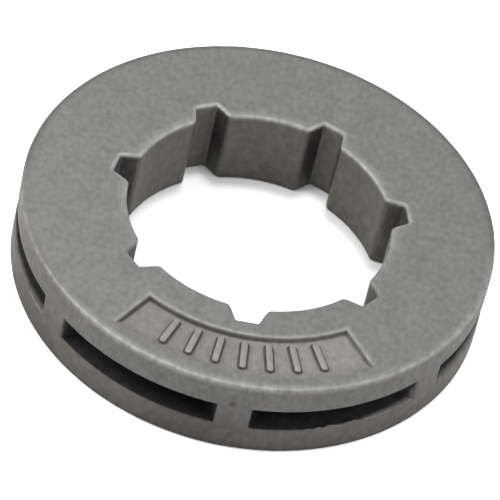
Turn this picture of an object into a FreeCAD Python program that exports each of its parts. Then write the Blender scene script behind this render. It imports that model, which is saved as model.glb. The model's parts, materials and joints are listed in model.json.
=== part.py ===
import FreeCAD, Part
import math
import os

# Rim sprocket of a chain saw: one steel casting, lying flat with its bore upright.
# The origin is the centre of the bottom face, and +Z runs up the bore.
# Teeth stand in a blind groove round the rim, between two flanges, and the chain's drive
# links enter the windows between the teeth. The bore slides on the splines of a hub.
# A tooth, a spline slot and the marking panel on the top face share one centre line.
# Each shape is made with that line on +X, and the finished casting is turned to face -Y.

# Driving dimensions, in millimetres and degrees
tooth_count = 7
outer_diameter = 36.5
thickness = 6.85
rim_edge_radius = 0.24

land_diameter = 20.4
slot_depth = 1.4
slot_mouth_width = 2.8
slot_floor_width = 1.75
slot_mouth_radius = 0.5
slot_floor_radius = 0.3
bore_chamfer = 0.2

window_height = 2.0
pocket_depth = 5.2
tooth_tip_width = 2.55
tooth_root_width = 4.6
tooth_root_radius = 1.2

panel_angle = 69.0
panel_width = 4.1
panel_rim_margin = 1.05
panel_depth = 0.35

# Values that follow from the driving dimensions
outer_radius = outer_diameter / 2
land_radius = land_diameter / 2
slot_floor_distance = land_radius + slot_depth
slot_floor_corner = math.hypot(slot_floor_distance, slot_floor_width / 2)
pocket_floor_radius = outer_radius - pocket_depth
window_bottom = (thickness - window_height) / 2
panel_outer_radius = outer_radius - panel_rim_margin
panel_inner_radius = panel_outer_radius - panel_width

# Direction that the shared centre line faces
FRONT_ANGLE = -90.0
# Length by which a cutting solid passes the surface that it opens
OVERCUT = 1.0
# Lengths closer than this are the same
SAME = 1e-4

AXIS_FOOT = FreeCAD.Vector(0, 0, 0)
UP = FreeCAD.Vector(0, 0, 1)


def disc(radius, bottom, height, angle=360.0):
    """Round plate on the bore axis, or a sector of one that starts at +X."""
    return Part.makeCylinder(radius, height, UP * bottom, UP, angle)


def tapered_bar(near, near_width, far, far_width, bottom, height):
    """Upright bar along +X whose width changes evenly from its near end to its far end."""
    corners = [
        FreeCAD.Vector(near, -near_width / 2, bottom),
        FreeCAD.Vector(far, -far_width / 2, bottom),
        FreeCAD.Vector(far, far_width / 2, bottom),
        FreeCAD.Vector(near, near_width / 2, bottom),
    ]
    outline = Part.makePolygon(corners + corners[:1])
    return Part.Face(outline).extrude(UP * height)


def one_per_tooth(shape):
    """Copies of a shape turned round the bore axis by one tooth after another."""
    copies = []
    for index in range(tooth_count):
        copy = shape.copy()
        copy.rotate(AXIS_FOOT, UP, index * 360.0 / tooth_count)
        copies.append(copy)
    return copies


def upright_edges(shape, radius):
    """Edges along Z at one distance from the bore axis."""
    found = []
    for edge in shape.Edges:
        foot, head = edge.firstVertex().Point, edge.lastVertex().Point
        is_upright = math.hypot(head.x - foot.x, head.y - foot.y) < SAME and abs(head.z - foot.z) > SAME
        if is_upright and abs(math.hypot(foot.x, foot.y) - radius) < SAME:
            found.append(edge)
    return found


def flat_face_edges(shape, least_radius, most_radius):
    """Edges of the bottom and top faces that start between two distances from the bore axis."""
    found = []
    for edge in shape.Edges:
        box = edge.BoundBox
        start = edge.firstVertex().Point
        is_level = box.ZMax - box.ZMin < SAME
        on_face = min(abs(start.z), abs(start.z - thickness)) < SAME
        radius = math.hypot(start.x, start.y)
        if is_level and on_face and least_radius - SAME < radius < most_radius + SAME:
            found.append(edge)
    return found


def splined_bore():
    """Space of the bore: a round hole with spline slots that narrow towards their floors."""
    start = land_radius - slot_depth
    start_width = 2 * slot_mouth_width - slot_floor_width
    slot = tapered_bar(start, start_width, slot_floor_distance, slot_floor_width, 0, thickness)
    bore = disc(land_radius, 0, thickness).fuse(one_per_tooth(slot)).removeSplitter()
    bore = bore.makeFillet(slot_mouth_radius, upright_edges(bore, land_radius))
    return bore.makeFillet(slot_floor_radius, upright_edges(bore, slot_floor_corner))


def drive_link_pockets():
    """Space of the groove round the rim, with the teeth left standing in it."""
    reach = outer_radius + OVERCUT
    taper = (tooth_root_width - tooth_tip_width) / pocket_depth
    start = pocket_floor_radius - OVERCUT
    start_width = tooth_root_width + taper * OVERCUT
    end_width = tooth_tip_width - taper * OVERCUT
    tooth = tapered_bar(start, start_width, reach, end_width, window_bottom, window_height)
    groove = disc(reach, window_bottom, window_height)
    groove = groove.cut(disc(pocket_floor_radius, window_bottom, window_height))
    pockets = groove.cut(one_per_tooth(tooth))
    return pockets.makeFillet(tooth_root_radius, upright_edges(pockets, pocket_floor_radius))


def marking_panel():
    """Space of the shallow panel, a sector sunk into the top face."""
    bottom = thickness - panel_depth
    sector = disc(panel_outer_radius, bottom, panel_depth, panel_angle)
    panel = sector.cut(disc(panel_inner_radius, bottom, panel_depth))
    panel.rotate(AXIS_FOOT, UP, -panel_angle / 2)
    return panel


def rim_sprocket():
    """The casting: rims rounded, and both ends of the bore chamfered to lead in the hub."""
    body = disc(outer_radius, 0, thickness).cut(splined_bore())
    body = body.makeChamfer(bore_chamfer, flat_face_edges(body, 0, slot_floor_corner))
    body = body.makeFillet(rim_edge_radius, flat_face_edges(body, outer_radius, outer_radius))
    body = body.cut(drive_link_pockets()).cut(marking_panel())
    body.rotate(AXIS_FOOT, UP, FRONT_ANGLE)
    return body


os.makedirs("parts", exist_ok=True)
rim_sprocket().exportStep("parts/rim_sprocket.step")
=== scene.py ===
import json
import math
from collections import namedtuple

import bpy
import numpy as np
from mathutils import Matrix, Vector, noise


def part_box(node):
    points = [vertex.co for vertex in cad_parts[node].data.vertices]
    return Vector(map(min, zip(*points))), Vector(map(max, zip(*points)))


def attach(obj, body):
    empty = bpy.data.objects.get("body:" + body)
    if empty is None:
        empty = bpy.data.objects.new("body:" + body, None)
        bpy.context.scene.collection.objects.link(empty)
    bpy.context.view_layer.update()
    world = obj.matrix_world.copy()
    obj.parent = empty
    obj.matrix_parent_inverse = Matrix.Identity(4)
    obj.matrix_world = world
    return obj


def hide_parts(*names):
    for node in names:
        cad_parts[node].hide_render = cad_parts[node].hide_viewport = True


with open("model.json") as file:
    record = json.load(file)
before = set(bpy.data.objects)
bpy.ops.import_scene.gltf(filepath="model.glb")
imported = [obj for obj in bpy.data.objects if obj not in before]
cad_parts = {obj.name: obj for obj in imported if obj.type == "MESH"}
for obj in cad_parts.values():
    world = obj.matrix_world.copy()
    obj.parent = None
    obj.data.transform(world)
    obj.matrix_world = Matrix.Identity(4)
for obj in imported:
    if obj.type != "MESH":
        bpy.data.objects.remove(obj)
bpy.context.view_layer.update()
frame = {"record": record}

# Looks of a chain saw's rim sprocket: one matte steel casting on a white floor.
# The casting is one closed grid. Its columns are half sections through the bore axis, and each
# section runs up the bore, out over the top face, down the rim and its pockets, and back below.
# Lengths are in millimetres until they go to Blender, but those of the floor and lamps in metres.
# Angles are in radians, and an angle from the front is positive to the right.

MM = 0.001
NODE = "rim_sprocket"

# Sizes that the frame gives
BOX_LOW, BOX_HIGH = (np.array(corner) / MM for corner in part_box(NODE))
MOUNTS = {mount["name"]: mount for mount in frame["record"]["mounts"]}
RIM_RADIUS = (BOX_HIGH[0] - BOX_LOW[0]) / 2
THICKNESS = BOX_HIGH[2] - BOX_LOW[2]
LAND_RADIUS = MOUNTS["spline_bore"]["dims"]["r_mm"]

# The casting's other sizes, as in its construction
TOOTH_COUNT = 7
RIM_EDGE = 0.24
SLOT_DEPTH = 1.4
SLOT_MOUTH = 2.8
SLOT_FLOOR = 1.75
WINDOW_HEIGHT = 2.0
POCKET_DEPTH = 5.2
TOOTH_TIP = 2.55
TOOTH_ROOT = 4.6
PANEL_HALF_ANGLE = math.radians(34.5)
PANEL_WIDTH = 4.1
PANEL_MARGIN = 1.05
PANEL_DEPTH = 0.35

# Cast forms: radii of rounded edges, how far from a corner its blend reaches, widths of the
# panel's steep border and of its gentle outer runout, and waves of unevenness by length and height
BORE_EDGE = 0.25
WINDOW_EDGE = 0.13
SLOT_MOUTH_BLEND = 0.45
SLOT_FLOOR_BLEND = 0.3
WINDOW_END_BLEND = 0.25
TOOTH_ROOT_BLEND = 0.8
PANEL_BORDER = 0.26
PANEL_RUNOUT = 1.1
UNEVENNESS = [(1.6, 0.010), (0.5, 0.006)]

# Strokes in the panel, one for each tooth: size, spacing, distance from the panel's inner side
# and height, which ends just below the top face
STROKE_LENGTH = 2.7
STROKE_WIDTH = 0.5
STROKE_SPACING = math.radians(7.4)
STROKE_INSET = 0.5
STROKE_HEIGHT = PANEL_DEPTH - 0.03

# Burrs on the lower lip of the window right of the front: angle from the front, reach and rise
BURRS = [
    (math.radians(18.3), 0.30, 0.13),
    (math.radians(21.0), 0.35, 0.16),
    (math.radians(23.6), 0.50, 0.26),
    (math.radians(25.3), 0.30, 0.14),
    (math.radians(28.4), 0.35, 0.18),
    (math.radians(30.0), 0.45, 0.27),
    (math.radians(33.0), 0.40, 0.20),
]

# Darker patches on the rim, most of them painted shade and one a pit: angle from the front, height,
# reach and amount of scale
STAINS_AND_SHADE = [
    (math.radians(-9), 0.9, 5.0, 0.15),
    (math.radians(-0.6), 4.75, 0.38, 0.5),
    (math.radians(1.0), 3.6, 2.2, 0.06),
    (math.radians(-64), 5.6, 8.0, 0.25),
    (math.radians(50), 5.6, 8.0, 0.06),
]

# Values that follow from these sizes. From RING_START outwards, rows of the flat faces are circles.
FRONT = math.radians(-90)
PITCH = 2 * math.pi / TOOTH_COUNT
RING_START = LAND_RADIUS + SLOT_DEPTH + 0.6
WINDOW_BOTTOM = (THICKNESS - WINDOW_HEIGHT) / 2
WINDOW_TOP = (THICKNESS + WINDOW_HEIGHT) / 2
PANEL_OUTER = RIM_RADIUS - PANEL_MARGIN
PANEL_INNER = PANEL_OUTER - PANEL_WIDTH
PANEL_FLOOR = THICKNESS - PANEL_DEPTH

# Rows across the panel's inner border, in widths of it from the middle of its slope
BORDER_ROWS = (-1.8, -1.2, -0.8, -0.5, -0.35, -0.2, -0.05, 0.1, 0.25, 0.4, 0.55, 0.8, 1.1)

# Finish of each point: pale from wear and painted highlights, dark from painted shade in the colours
# of scale, or left rough and warm as in the panel
MASKS = ("worn", "scale", "rough")

# Painted shade on upright walls, in the colours of scale: at their tops and towards their feet, and
# what a foot's edge has more
BORE_SHADE = (0.42, 0.54)
RIM_SHADE = (0.17, 0.49)
FOOT_SHADE = 0.25

# Colours of the steel: blasted faces, the panel, thin and thick scale that also paint shade, and the
# pale of worn edges that also paints highlights
FACE_DARK = (0.229, 0.228, 0.222)
FACE_PALE = (0.265, 0.264, 0.257)
PANEL_STEEL = (0.304, 0.294, 0.267)
THIN_SCALE_AND_SHADE = (0.117, 0.108, 0.092)
THICK_SCALE_AND_SHADE = (0.042, 0.038, 0.041)
WEAR_AND_HIGHLIGHT_STEEL = (0.6, 0.594, 0.567)

# The floor: half its width, its glow, and how bright its paint is in light that it throws back,
# in reflections and to the camera. To the camera its glow ends in a margin inside the rim.
FLOOR_HALF = 3.0
FLOOR_GLOW = 0.3
FLOOR_BOUNCED = 0.3
FLOOR_MIRRORED = 1.0
FLOOR_SEEN = 1.7
FLOOR_MARGIN = 3.0

# Light of the room
ROOM_COLOUR = (0.42, 0.42, 0.4275)

# Row of the rim: its radius, height, pale of wear and painted highlight, and the least painted shade
# that it has inside a pocket
RimRow = namedtuple("RimRow", "radius z worn hidden")


def smooth_min(first, second, blend):
    """Smaller of two lengths, with the corner between them rounded."""
    share = np.clip(0.5 + 0.5 * (second - first) / blend, 0, 1)
    return second + (first - second) * share - blend * share * (1 - share)


def smooth_max(first, second, blend):
    """Larger of two lengths, with the corner between them rounded."""
    return -smooth_min(-first, -second, blend)


def smooth_step(low, high, value):
    """0 at low, 1 at high, and an even S between them."""
    share = np.clip((value - low) / (high - low), 0, 1)
    return share * share * (3 - 2 * share)


def from_tooth(theta):
    """Angle from the middle of the nearest tooth, to either side."""
    return np.abs((theta - FRONT + PITCH / 2) % PITCH - PITCH / 2)


def from_front(theta):
    """Angle from the front, positive to the right."""
    return (theta - FRONT + math.pi) % (2 * math.pi) - math.pi


# Used to put painted highlights on the far side only
def far_share(theta):
    """0 on the casting's near side, and 1 on its far side."""
    return smooth_step(-0.95, 0.2, np.sin(theta))


def flank_radius(angle, width, at_radius, lean):
    """Radius at an angle on a straight flank, which is width / 2 off the middle at one radius."""
    return (width / 2 + at_radius * lean) / (np.sin(angle) + lean * np.cos(angle))


def bore_radius(theta):
    """Radius of the bore wall: lands, and slots that narrow towards their floors."""
    angle = from_tooth(theta)
    lean = (SLOT_MOUTH - SLOT_FLOOR) / (2 * SLOT_DEPTH)
    flank = flank_radius(angle, SLOT_MOUTH, LAND_RADIUS, lean)
    floor = (LAND_RADIUS + SLOT_DEPTH) / np.cos(angle)
    return smooth_max(LAND_RADIUS, smooth_min(flank, floor, SLOT_FLOOR_BLEND), SLOT_MOUTH_BLEND)


def pocket_depth(theta):
    """Depth of the pocket behind the rim: none on a tooth, and full between two root fillets."""
    angle = from_tooth(theta)
    lean = (TOOTH_ROOT - TOOTH_TIP) / (2 * POCKET_DEPTH)
    flank = flank_radius(angle, TOOTH_TIP, RIM_RADIUS, lean)
    wall = smooth_max(flank, RIM_RADIUS - POCKET_DEPTH, TOOTH_ROOT_BLEND)
    return RIM_RADIUS - smooth_min(wall, RIM_RADIUS, WINDOW_END_BLEND)


def panel_shares(radius, theta):
    """Shares of the panel at a point: depth, rough finish, the border's painted shade and the painted
    highlight on its lip.
    """
    side = (PANEL_HALF_ANGLE - np.abs(from_front(theta))) * radius
    inside = np.minimum(radius - PANEL_INNER, side) / PANEL_BORDER
    steep = smooth_step(-0.5, 0.5, inside)
    runout = smooth_step(PANEL_OUTER, PANEL_OUTER - PANEL_RUNOUT, radius)
    dark = smooth_step(-0.3, 0.1, inside) * smooth_step(0.9, 0.4, inside)
    lip = smooth_step(-1.8, -0.6, inside) * smooth_step(-0.1, -0.4, inside)
    inner = smooth_step(PANEL_OUTER, PANEL_OUTER - PANEL_RUNOUT / 2, radius)
    return steep * runout, steep * inner, dark * inner, lip * inner


def column_angles():
    """Angles of the sections: close together on tooth ends, slot flanks and the panel's sides."""
    half_pitch = math.degrees(PITCH / 2)
    # Start, end and number of sections, in degrees from the middle of a tooth
    stretches = [(0, 3.4, 8), (3.4, 5.2, 10), (5.2, 9.4, 16), (9.4, 13, 8), (13, half_pitch, 18)]
    half = np.concatenate([np.linspace(*stretch, endpoint=False) for stretch in stretches])
    one_tooth = np.radians(np.concatenate([-half[:0:-1], half, [half_pitch]]))
    angles = np.concatenate([FRONT + tooth * PITCH + one_tooth for tooth in range(TOOTH_COUNT)])
    across_side = np.linspace(-1.8, 1.2, 16) * PANEL_BORDER / PANEL_INNER
    sides = [FRONT + side * PANEL_HALF_ANGLE + across_side for side in (-1, 1)]
    angles = np.sort(np.concatenate([angles] + sides) % (2 * math.pi))
    apart = np.diff(angles, append=angles[0] + 2 * math.pi)
    least_apart = math.radians(0.03)
    return angles[apart > least_apart]


class Section:
    """Rows of the grid in their order round the section, with the masks of their finish."""

    def __init__(self, theta):
        self.theta = theta
        self.rows = []
        self.masks = {name: [] for name in MASKS}

    def add(self, xy, z, **finish):
        """One row: its points seen from above, their height and their finish."""
        size = len(self.theta)
        self.rows.append(np.column_stack([xy, np.broadcast_to(z, size)]))
        for name in MASKS:
            self.masks[name].append(np.broadcast_to(finish.get(name, 0.0), size))

    def at(self, radius):
        """Points of every section at one radius, or at a radius for each."""
        return np.column_stack([radius * np.cos(self.theta), radius * np.sin(self.theta)])


def quarter(steps):
    """Angles of the rows over a rounded edge."""
    return np.linspace(0, math.pi / 2, steps + 1)


def wall_shade(z, amounts):
    """Painted shade on an upright wall, darker towards its foot and darkest on the foot's edge."""
    top, foot = amounts
    scale = top + (foot - top) * smooth_step(0.75 * THICKNESS, 0, z)
    return scale + FOOT_SHADE * smooth_step(0.5, 0.1, z)


def slot_shade(theta, facing):
    """Painted shade in the slots: on flanks, which face the axis less, and on all but the two far
    floors.
    """
    flank = smooth_step(0.85, 0.5, facing)
    # Flanks at the back and on the left get more painted shade
    flank *= 0.62 + 0.3 * smooth_step(1.5, 2.0, np.abs(from_front(theta - 0.55)))
    floor = smooth_step(0.5, 1.1, bore_radius(theta) - LAND_RADIUS)
    return np.maximum(flank, 0.8 * floor * smooth_step(2.4, 2.1, np.abs(from_front(theta))))


def stain_and_shade(theta, z):
    """Extra darkening in patches on the rim: painted shade, and one pit."""
    extra = np.zeros(len(theta))
    for angle, height, reach, amount in STAINS_AND_SHADE:
        away = np.hypot(RIM_RADIUS * from_front(theta - angle), z - height) / reach
        extra += amount * np.clip(1 - away * away, 0, 1)
    return extra


def build_section():
    """All rows of the casting, from the foot of the bore round to its foot again."""
    section = Section(column_angles())
    wall = section.at(bore_radius(section.theta))
    along = np.roll(wall, -1, axis=0) - np.roll(wall, 1, axis=0)
    along /= np.linalg.norm(along, axis=1)[:, None]
    into_steel = np.column_stack([along[:, 1], -along[:, 0]])
    add_bore_wall(section, wall, into_steel)
    add_bore_edge(section, wall, into_steel, top=True)
    add_top_face(section, wall + into_steel * BORE_EDGE)
    add_rim(section)
    add_bottom_face(section, wall + into_steel * BORE_EDGE)
    add_bore_edge(section, wall, into_steel, top=False)
    return section


def add_bore_wall(section, wall, into_steel):
    """Rows of the bore's wall, upwards. It is darkened by painted shade, most in the slots, and has a
    painted highlight near its top.
    """
    facing = np.sum(into_steel * section.at(1.0), axis=1)
    in_slots = slot_shade(section.theta, facing)
    upright = np.linspace(1.0, THICKNESS - 0.5, 8)
    for z in [BORE_EDGE, 0.5, *upright, THICKNESS - BORE_EDGE - 0.02]:
        # Painted highlight just under the top edge
        worn = 0.3 * smooth_step(THICKNESS - 0.5, THICKNESS - BORE_EDGE, z)
        section.add(wall, z, worn=worn, scale=np.maximum(wall_shade(z, BORE_SHADE), in_slots))


def add_bore_edge(section, wall, into_steel, top):
    """Rounded edge between the bore and a flat face: up to the top one, or up from the bottom one."""
    angles = quarter(4)[1:] if top else quarter(4)[:0:-1]
    far = far_share(section.theta)
    for angle in angles:
        inset = BORE_EDGE * (1 - math.cos(angle))
        drop = BORE_EDGE * (1 - math.sin(angle))
        if top:
            # Painted highlight on the top edge, on the far side only
            worn = far * (0.85 - 0.5 * math.sin(angle) ** 8)
            section.add(wall + into_steel * inset, THICKNESS - drop, worn=worn)
        else:
            # Painted shade on the bottom edge
            section.add(wall + into_steel * inset, drop, scale=0.7)


def joining_rows(section, inner):
    """Rows between the bore's edge and the first full circle of a flat face."""
    ring = section.at(RING_START)
    return [inner + (ring - inner) * share for share in (0.06, 0.35, 0.7)]


def add_top_face(section, inner):
    """Rows of the top face with its sunk panel, outwards."""
    # Painted highlight beside the bore's far edge, on the top face
    for xy, worn in zip(joining_rows(section, inner), (0.25, 0.0, 0.0)):
        section.add(xy, THICKNESS, worn=worn * far_share(section.theta))
    radii = np.concatenate([
        [RING_START],
        PANEL_INNER + np.array(BORDER_ROWS) * PANEL_BORDER,
        np.linspace(PANEL_INNER + 0.6, PANEL_OUTER - PANEL_RUNOUT, 8),
        np.linspace(PANEL_OUTER - PANEL_RUNOUT, PANEL_OUTER, 6)[1:],
        [PANEL_OUTER + 0.4],
    ])
    # The panel's floor is paler to the right
    turn = from_front(section.theta)
    for radius in radii:
        sunk, rough, dark, lip = panel_shares(radius, section.theta)
        z = THICKNESS - PANEL_DEPTH * sunk
        # Painted highlight on the border's lip
        worn = 0.45 * lip + 0.1 * rough * smooth_step(-0.2, 0.4, turn)
        # Painted shade along the border
        scale = 0.57 * dark + 0.085 * rough * smooth_step(0.2, -0.4, turn)
        section.add(section.at(radius), z, worn=worn, scale=scale, rough=rough)


def add_bottom_face(section, inner):
    """Rows of the plain bottom face, inwards."""
    for radius in np.linspace(RIM_RADIUS - RIM_EDGE, RING_START, 9)[1:]:
        section.add(section.at(radius), 0.0)
    for xy in joining_rows(section, inner)[::-1] + [inner]:
        section.add(xy, 0.0)


def add_rim(section):
    """Rows of the rim from the top face down: rounded edge, flange, pocket, flange, rounded edge."""
    turn = from_front(section.theta)
    # The upper edge has a painted highlight with wear, most in front and less at both sides, and
    # behind it painted shade instead
    behind = smooth_step(1.35, 1.75, np.abs(turn))
    edge_highlight_and_wear = 0.4 + 0.6 * smooth_step(-1.05, -0.4, turn)
    edge_highlight_and_wear *= 1 - 0.25 * smooth_step(0.12, 0.3, turn)
    edge_highlight_and_wear *= 1 - behind
    upper = []
    for angle in quarter(5):
        radius = RIM_RADIUS - RIM_EDGE * (1 - math.sin(angle))
        z = THICKNESS - RIM_EDGE * (1 - math.cos(angle))
        upper.append(RimRow(radius, z, edge_highlight_and_wear * (0.5 + 0.4 * math.sin(2 * angle)), 0.0))
    for z in np.linspace(THICKNESS - RIM_EDGE, WINDOW_TOP + WINDOW_EDGE, 8)[1:-1]:
        upper.append(RimRow(RIM_RADIUS, z, 0.0, 0.0))
    upper += pocket_rows(pocket_depth(section.theta))
    for row in upper + mirrored_rows(upper, turn):
        scale = wall_shade(row.z, RIM_SHADE) + stain_and_shade(section.theta, row.z)
        # Painted shade on the upper rim behind
        scale += 0.15 * behind * smooth_step(WINDOW_TOP + 1, THICKNESS - RIM_EDGE, row.z)
        section.add(section.at(row.radius), row.z, worn=row.worn, scale=np.maximum(scale, row.hidden))


def mirrored_rows(upper, turn):
    """Lower half of the rim's rows. At both sides the pockets' floors get painted light near the lip,
    with less painted shade.
    """
    at_sides = np.maximum(smooth_step(0.2, 0.9, turn), smooth_step(0.8, 0.97, -turn))
    lit_reach = 0.01 + 0.65 * at_sides * smooth_step(1.8, 0.9, np.abs(turn))
    lower = []
    for row in reversed(upper):
        lit_floor = smooth_step(lit_reach, 0.3 * lit_reach, RIM_RADIUS - row.radius)
        worn = 0.5 * row.hidden * lit_floor
        lower.append(RimRow(row.radius, THICKNESS - row.z, worn, row.hidden * (1 - lit_floor)))
    return lower


def pocket_rows(depth):
    """Upper half of a pocket's rows: lip, roof and back. On a tooth they spread down its face."""
    rows = []
    opened = smooth_step(0, 0.3, depth)
    lip_inset = np.minimum(WINDOW_EDGE, depth)
    for angle in quarter(3):
        z = WINDOW_TOP + WINDOW_EDGE * (1 - math.sin(angle))
        radius = RIM_RADIUS - lip_inset * (1 - math.cos(angle))
        # Painted highlight on the lip, and painted shade that begins under it
        worn = 0.3 * math.sin(2 * angle) * opened
        rows.append(RimRow(radius, z, worn, opened * math.sin(angle) ** 4))
    # Roof and back of the pocket get painted shade
    # The roof's rows take this share of the height over which a tooth's rows spread
    roof_share = 0.6
    spread = (1 - opened) * WINDOW_HEIGHT / 2
    for share in (0.03, 0.07, 0.12, 0.2, 0.4, 1.0):
        inset = lip_inset + (depth - lip_inset) * share
        rows.append(RimRow(RIM_RADIUS - inset, WINDOW_TOP - spread * share * roof_share, 0.0, opened))
    for share in (0.25, 0.75):
        z = WINDOW_TOP - spread * roof_share - (WINDOW_HEIGHT / 2 - spread * roof_share) * share
        rows.append(RimRow(RIM_RADIUS - depth, z, 0.0, opened))
    return rows


def grid_mesh(section):
    """Closed quad grid through all rows and columns."""
    points = np.array(section.rows)
    row_count, column_count = points.shape[:2]
    index = np.arange(row_count * column_count).reshape(row_count, column_count)
    above = np.roll(index, -1, axis=0)
    corners = (above, np.roll(above, -1, axis=1), np.roll(index, -1, axis=1), index)
    faces = np.stack([corner.ravel() for corner in corners], axis=1)
    masks = {name: np.array(rows).ravel() for name, rows in section.masks.items()}
    return new_mesh("casting", points.reshape(-1, 3), faces.tolist(), masks)


def new_mesh(name, points, faces, masks):
    """Smooth mesh from points in millimetres, with the finish as attributes."""
    mesh = bpy.data.meshes.new(name)
    mesh.from_pydata((points * MM).tolist(), [], faces)
    for mask, values in masks.items():
        attribute = mesh.attributes.new(mask, "FLOAT", "POINT")
        attribute.data.foreach_set("value", values.astype(np.float32))
    mesh.polygons.foreach_set("use_smooth", [True] * len(mesh.polygons))
    mesh.update()
    return mesh


def roughen(mesh):
    """Cast unevenness along the surface normals, and burrs on a window's lip."""
    points = np.empty(3 * len(mesh.vertices))
    normals = np.empty(3 * len(mesh.vertices))
    mesh.vertices.foreach_get("co", points)
    mesh.vertices.foreach_get("normal", normals)
    points = points.reshape(-1, 3) / MM
    normals = normals.reshape(-1, 3)
    rise = np.zeros(len(points))
    for length, height in UNEVENNESS:
        rise += [height * noise.noise(Vector(point) / length) for point in points]
    moved = points + normals * rise[:, None]
    for angle, reach, burr_rise in BURRS:
        theta = FRONT + angle
        centre = (RIM_RADIUS * math.cos(theta), RIM_RADIUS * math.sin(theta), WINDOW_BOTTOM)
        away = np.linalg.norm(points - centre, axis=1) / reach
        moved[:, 2] += burr_rise * np.clip(1 - away * away, 0, 1) ** 2
    moved[:, 2] = np.maximum(moved[:, 2], 0)
    mesh.vertices.foreach_set("co", (moved * MM).ravel())
    mesh.update()


def stroke_outline(offset):
    """Outline of a stroke along +X, wider by an offset all round."""
    points_per_end = 8
    radius = STROKE_WIDTH / 2 + offset
    middle = (STROKE_LENGTH - STROKE_WIDTH) / 2
    turn = np.linspace(-math.pi / 2, math.pi / 2, points_per_end)
    end = np.column_stack([middle + radius * np.cos(turn), radius * np.sin(turn)])
    return np.concatenate([end, -end])


def ring_faces(below, above, size):
    """Quads between two rings of points, from the index of each ring's first point."""
    faces = []
    for point in range(size):
        after = (point + 1) % size
        faces.append((below + point, below + after, above + after, above + point))
    return faces


def strokes_mesh():
    """Raised strokes in the panel, each with painted shade round its foot and a painted highlight on
    its top edge.
    """
    # Offset from the outline, height over the panel's floor, painted shade and painted highlight
    rings = [
        (0.24, -0.03, 0.0, 0.0),
        (0.15, 0.01, 0.4, 0.0),
        (0.06, 0.03, 0.75, 0.0),
        (0.0, 0.12, 0.7, 0.0),
        (-0.01, STROKE_HEIGHT - 0.08, 0.3, 0.2),
        (-0.04, STROKE_HEIGHT - 0.02, 0.0, 0.5),
        (-0.1, STROKE_HEIGHT, 0.0, 0.2),
    ]
    points = []
    faces = []
    masks = {name: [] for name in MASKS}
    middle = PANEL_INNER + STROKE_INSET + STROKE_LENGTH / 2
    for stroke in range(TOOTH_COUNT):
        angle = FRONT + (stroke - (TOOTH_COUNT - 1) / 2) * STROKE_SPACING
        rotation = np.array([[math.cos(angle), math.sin(angle)], [-math.sin(angle), math.cos(angle)]])
        for ring, (offset, height, scale, worn) in enumerate(rings):
            outline = (stroke_outline(offset) + (middle, 0)) @ rotation
            size = len(outline)
            start = len(points)
            points += [(x, y, PANEL_FLOOR + height) for x, y in outline]
            for name, value in (("worn", worn), ("scale", scale), ("rough", 1.0)):
                masks[name] += [value] * size
            if ring:
                faces += ring_faces(start - size, start, size)
        faces.append(tuple(range(start, start + size)))
        foot = start - size * (len(rings) - 1)
        faces.append(tuple(reversed(range(foot, foot + size))))
    masks = {name: np.array(values) for name, values in masks.items()}
    return new_mesh("strokes", np.array(points), faces, masks)


def add_piece(name, mesh, material):
    """Object that rides with the casting."""
    piece = bpy.data.objects.new(name, mesh)
    bpy.context.scene.collection.objects.link(piece)
    mesh.materials.append(material)
    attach(piece, "root")
    return piece


def grey(value):
    """Colour with the same red, green and blue."""
    return (value, value, value)


class Nodes:
    """A material's nodes, each made in one call from its inputs and settings."""

    def __init__(self, name):
        self.material = bpy.data.materials.new(name)
        self.material.use_nodes = True
        self.tree = self.material.node_tree
        self.tree.nodes.clear()

    def add(self, kind, inputs, **settings):
        """New node. An input is a value, or another node's output to link."""
        node = self.tree.nodes.new("ShaderNode" + kind)
        for name, value in settings.items():
            setattr(node, name, value)
        for name, value in inputs.items():
            if isinstance(value, bpy.types.NodeSocket):
                self.tree.links.new(value, node.inputs[name])
            else:
                node.inputs[name].default_value = value
        return node

    def noise(self, place, scale, detail):
        """Noise with a number of waves per metre."""
        return self.add("TexNoise", {"Vector": place, "Scale": scale, "Detail": detail}).outputs["Fac"]

    def ramp(self, value, low, high, first=grey(0), last=grey(1)):
        """Colour that goes from first to last while a value goes from low to high."""
        node = self.add("ValToRGB", {"Fac": value})
        for element, position, colour in zip(node.color_ramp.elements, (low, high), (first, last)):
            element.position = position
            element.color = (*colour, 1)
        return node.outputs["Color"]

    def mix(self, share, a, b, blend="MIX"):
        """Blend of two colours."""
        inputs = {"Factor": share, "A": a, "B": b}
        return self.add("Mix", inputs, data_type="RGBA", blend_type=blend).outputs["Result"]

    def math(self, operation, a, b):
        """One operation on two values."""
        return self.add("Math", {0: a, 1: b}, operation=operation).outputs[0]

    def mask(self, name):
        """One of the mesh's finish masks."""
        return self.add("Attribute", {}, attribute_name=name).outputs["Fac"]


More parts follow.
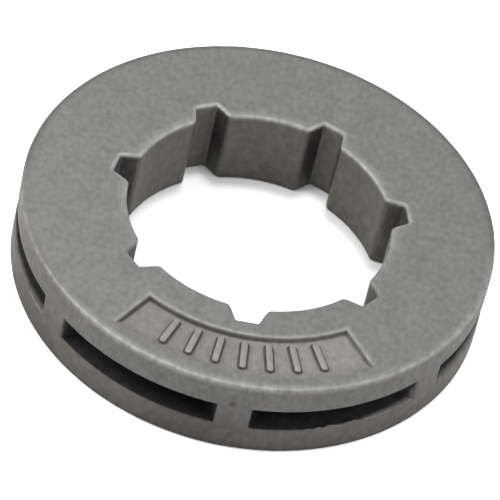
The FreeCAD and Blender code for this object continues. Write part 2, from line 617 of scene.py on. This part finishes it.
def cast_steel():
    """Blasted steel: mottled grain, painted shade in the colours of scale, and pale edges from wear
    and painted highlights.
    """
    nodes = Nodes("blasted_cast_steel")
    place = nodes.add("TexCoord", {}).outputs["Object"]
    # The grain is longer along Y and Z, so that it looks even in the tilted view
    place = nodes.add("Mapping", {"Vector": place, "Scale": (1, 0.72, 0.72)}).outputs["Vector"]
    grain = nodes.noise(place, 2450, 2)
    clouds = nodes.ramp(nodes.noise(place, 600, 3), 0.3, 0.7, FACE_DARK, FACE_PALE)
    colour = nodes.mix(nodes.mask("rough"), clouds, (*PANEL_STEEL, 1))
    speckle = nodes.ramp(grain, 0.3, 0.7, grey(0.84), grey(1.12))
    colour = nodes.mix(1.0, colour, speckle, "MULTIPLY")
    patches = nodes.ramp(nodes.noise(place, 1700, 2), 0.3, 0.7, grey(0.85), grey(1.15))
    # Painted shade and scale from the mesh's mask, in patches
    scale = nodes.math("MULTIPLY", nodes.mask("scale"), patches)
    colour = nodes.mix(nodes.ramp(scale, 0, 0.6), colour, (*THIN_SCALE_AND_SHADE, 1))
    colour = nodes.mix(nodes.ramp(scale, 0.5, 1), colour, (*THICK_SCALE_AND_SHADE, 1))
    # Pale of wear and painted highlights, from the mesh's mask and broken by noise
    rubbed = nodes.ramp(nodes.noise(place, 2300, 2), 0.05, 0.65)
    wear_and_light_share = nodes.math("MULTIPLY", nodes.mask("worn"), rubbed)
    colour = nodes.mix(wear_and_light_share, colour, (*WEAR_AND_HIGHLIGHT_STEEL, 1))

    pitted = nodes.math("ADD", nodes.noise(place, 3800, 2), nodes.noise(place, 1700, 1))
    bump = nodes.add("Bump", {"Height": pitted, "Strength": 0.5, "Distance": 0.03 * MM})
    gloss = nodes.ramp(grain, 0.3, 0.7, grey(0.6), grey(0.48))
    finish = {
        "Base Color": colour,
        "Roughness": gloss,
        "Metallic": 0.3,
        "Normal": bump.outputs["Normal"],
    }
    shader = nodes.add("BsdfPrincipled", finish)
    nodes.add("OutputMaterial", {"Surface": shader.outputs["BSDF"]})
    return nodes.material


def white_floor():
    """Floor that is white to the camera and in reflections, and keeps the casting's shadow."""
    nodes = Nodes("white_floor")
    path = nodes.add("LightPath", {}).outputs
    mirrored = nodes.math("MAXIMUM", path["Is Glossy Ray"], path["Is Transmission Ray"])
    place = nodes.add("TexCoord", {}).outputs["Object"]
    away = nodes.add("VectorMath", {0: place}, operation="LENGTH").outputs["Value"]
    margin = {"From Min": (RIM_RADIUS - FLOOR_MARGIN) * MM, "From Max": RIM_RADIUS * MM}
    outside = nodes.add("MapRange", {"Value": away, **margin}).outputs["Result"]
    seen = nodes.math("MAXIMUM", mirrored, nodes.math("MULTIPLY", path["Is Camera Ray"], outside))
    glow = nodes.add("Emission", {"Strength": nodes.math("MULTIPLY", seen, FLOOR_GLOW)})
    shade = nodes.mix(mirrored, (*grey(FLOOR_BOUNCED), 1), (*grey(FLOOR_MIRRORED), 1))
    shade = nodes.mix(path["Is Camera Ray"], shade, (*grey(FLOOR_SEEN), 1))
    paint = nodes.add("BsdfDiffuse", {"Color": shade})
    both = nodes.add("AddShader", {0: glow.outputs[0], 1: paint.outputs[0]})
    nodes.add("OutputMaterial", {"Surface": both.outputs[0]})
    return nodes.material


def add_floor():
    """Large plane under the casting."""
    signs = [(-1, -1), (1, -1), (1, 1), (-1, 1)]
    corners = [(x * FLOOR_HALF, y * FLOOR_HALF, 0) for x, y in signs]
    mesh = bpy.data.meshes.new("floor")
    mesh.from_pydata(corners, [], [(0, 1, 2, 3)])
    mesh.materials.append(white_floor())
    floor = bpy.data.objects.new("floor", mesh)
    bpy.context.scene.collection.objects.link(floor)


def add_lamp(name, azimuth, elevation, distance, size, power):
    """Square lamp aimed at the casting, in degrees, metres and watts. Azimuth 90 is to the right."""
    lamp = bpy.data.lights.new(name, "AREA")
    lamp.size = size
    lamp.energy = power
    turn = math.radians(azimuth)
    rise = math.radians(elevation)
    away = Vector((math.sin(turn) * math.cos(rise), -math.cos(turn) * math.cos(rise), math.sin(rise)))
    holder = bpy.data.objects.new(name, lamp)
    holder.location = away * distance
    holder.rotation_euler = away.to_track_quat("Z", "Y").to_euler()
    bpy.context.scene.collection.objects.link(holder)


def add_light():
    """Top lamp from a little behind, weaker lamps at both sides, and a grey room."""
    add_lamp("top_lamp", azimuth=170, elevation=80.5, distance=0.45, size=0.06, power=0.49)
    add_lamp("left_lamp", azimuth=-85, elevation=40, distance=0.1, size=0.05, power=0.041)
    add_lamp("right_lamp", azimuth=80, elevation=40, distance=0.3, size=0.2, power=0.23)
    world = bpy.data.worlds.new("room")
    world.use_nodes = True
    background = world.node_tree.nodes["Background"]
    background.inputs["Color"].default_value = (*ROOM_COLOUR, 1)
    bpy.context.scene.world = world


def add_camera():
    """Camera at the photograph's viewing angle, which is tilted to one side."""
    azimuth = math.radians(-5.0)
    elevation = math.radians(45.0)
    roll = math.radians(13.6)
    distance = 330.0
    right_by = 0.37
    up_by = 1.77
    focal_pixels = 4278.0
    picture_pixels = 500
    turn = Matrix.Rotation(azimuth, 3, "Z")
    forward = turn @ Vector((0, math.cos(elevation), -math.sin(elevation)))
    level = turn @ Vector((1, 0, 0))
    upright = level.cross(forward)
    right = level * math.cos(roll) + upright * math.sin(roll)
    up = upright * math.cos(roll) - level * math.sin(roll)
    place = right * right_by + up * up_by - forward * distance
    camera = bpy.data.cameras.new("camera")
    camera.lens = focal_pixels * camera.sensor_width / picture_pixels
    camera.clip_start = 0.01
    holder = bpy.data.objects.new("camera", camera)
    axes = Matrix((right, up, -forward)).transposed().to_4x4()
    holder.matrix_world = Matrix.Translation(place * MM) @ axes
    bpy.context.scene.collection.objects.link(holder)
    bpy.context.scene.camera = holder


steel = cast_steel()
casting_mesh = grid_mesh(build_section())
roughen(casting_mesh)
casting = add_piece("casting", casting_mesh, steel)
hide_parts(NODE)
add_piece("strokes", strokes_mesh(), steel)
add_floor()
add_light()
add_camera()
bpy.context.scene.view_settings.view_transform = "Standard"
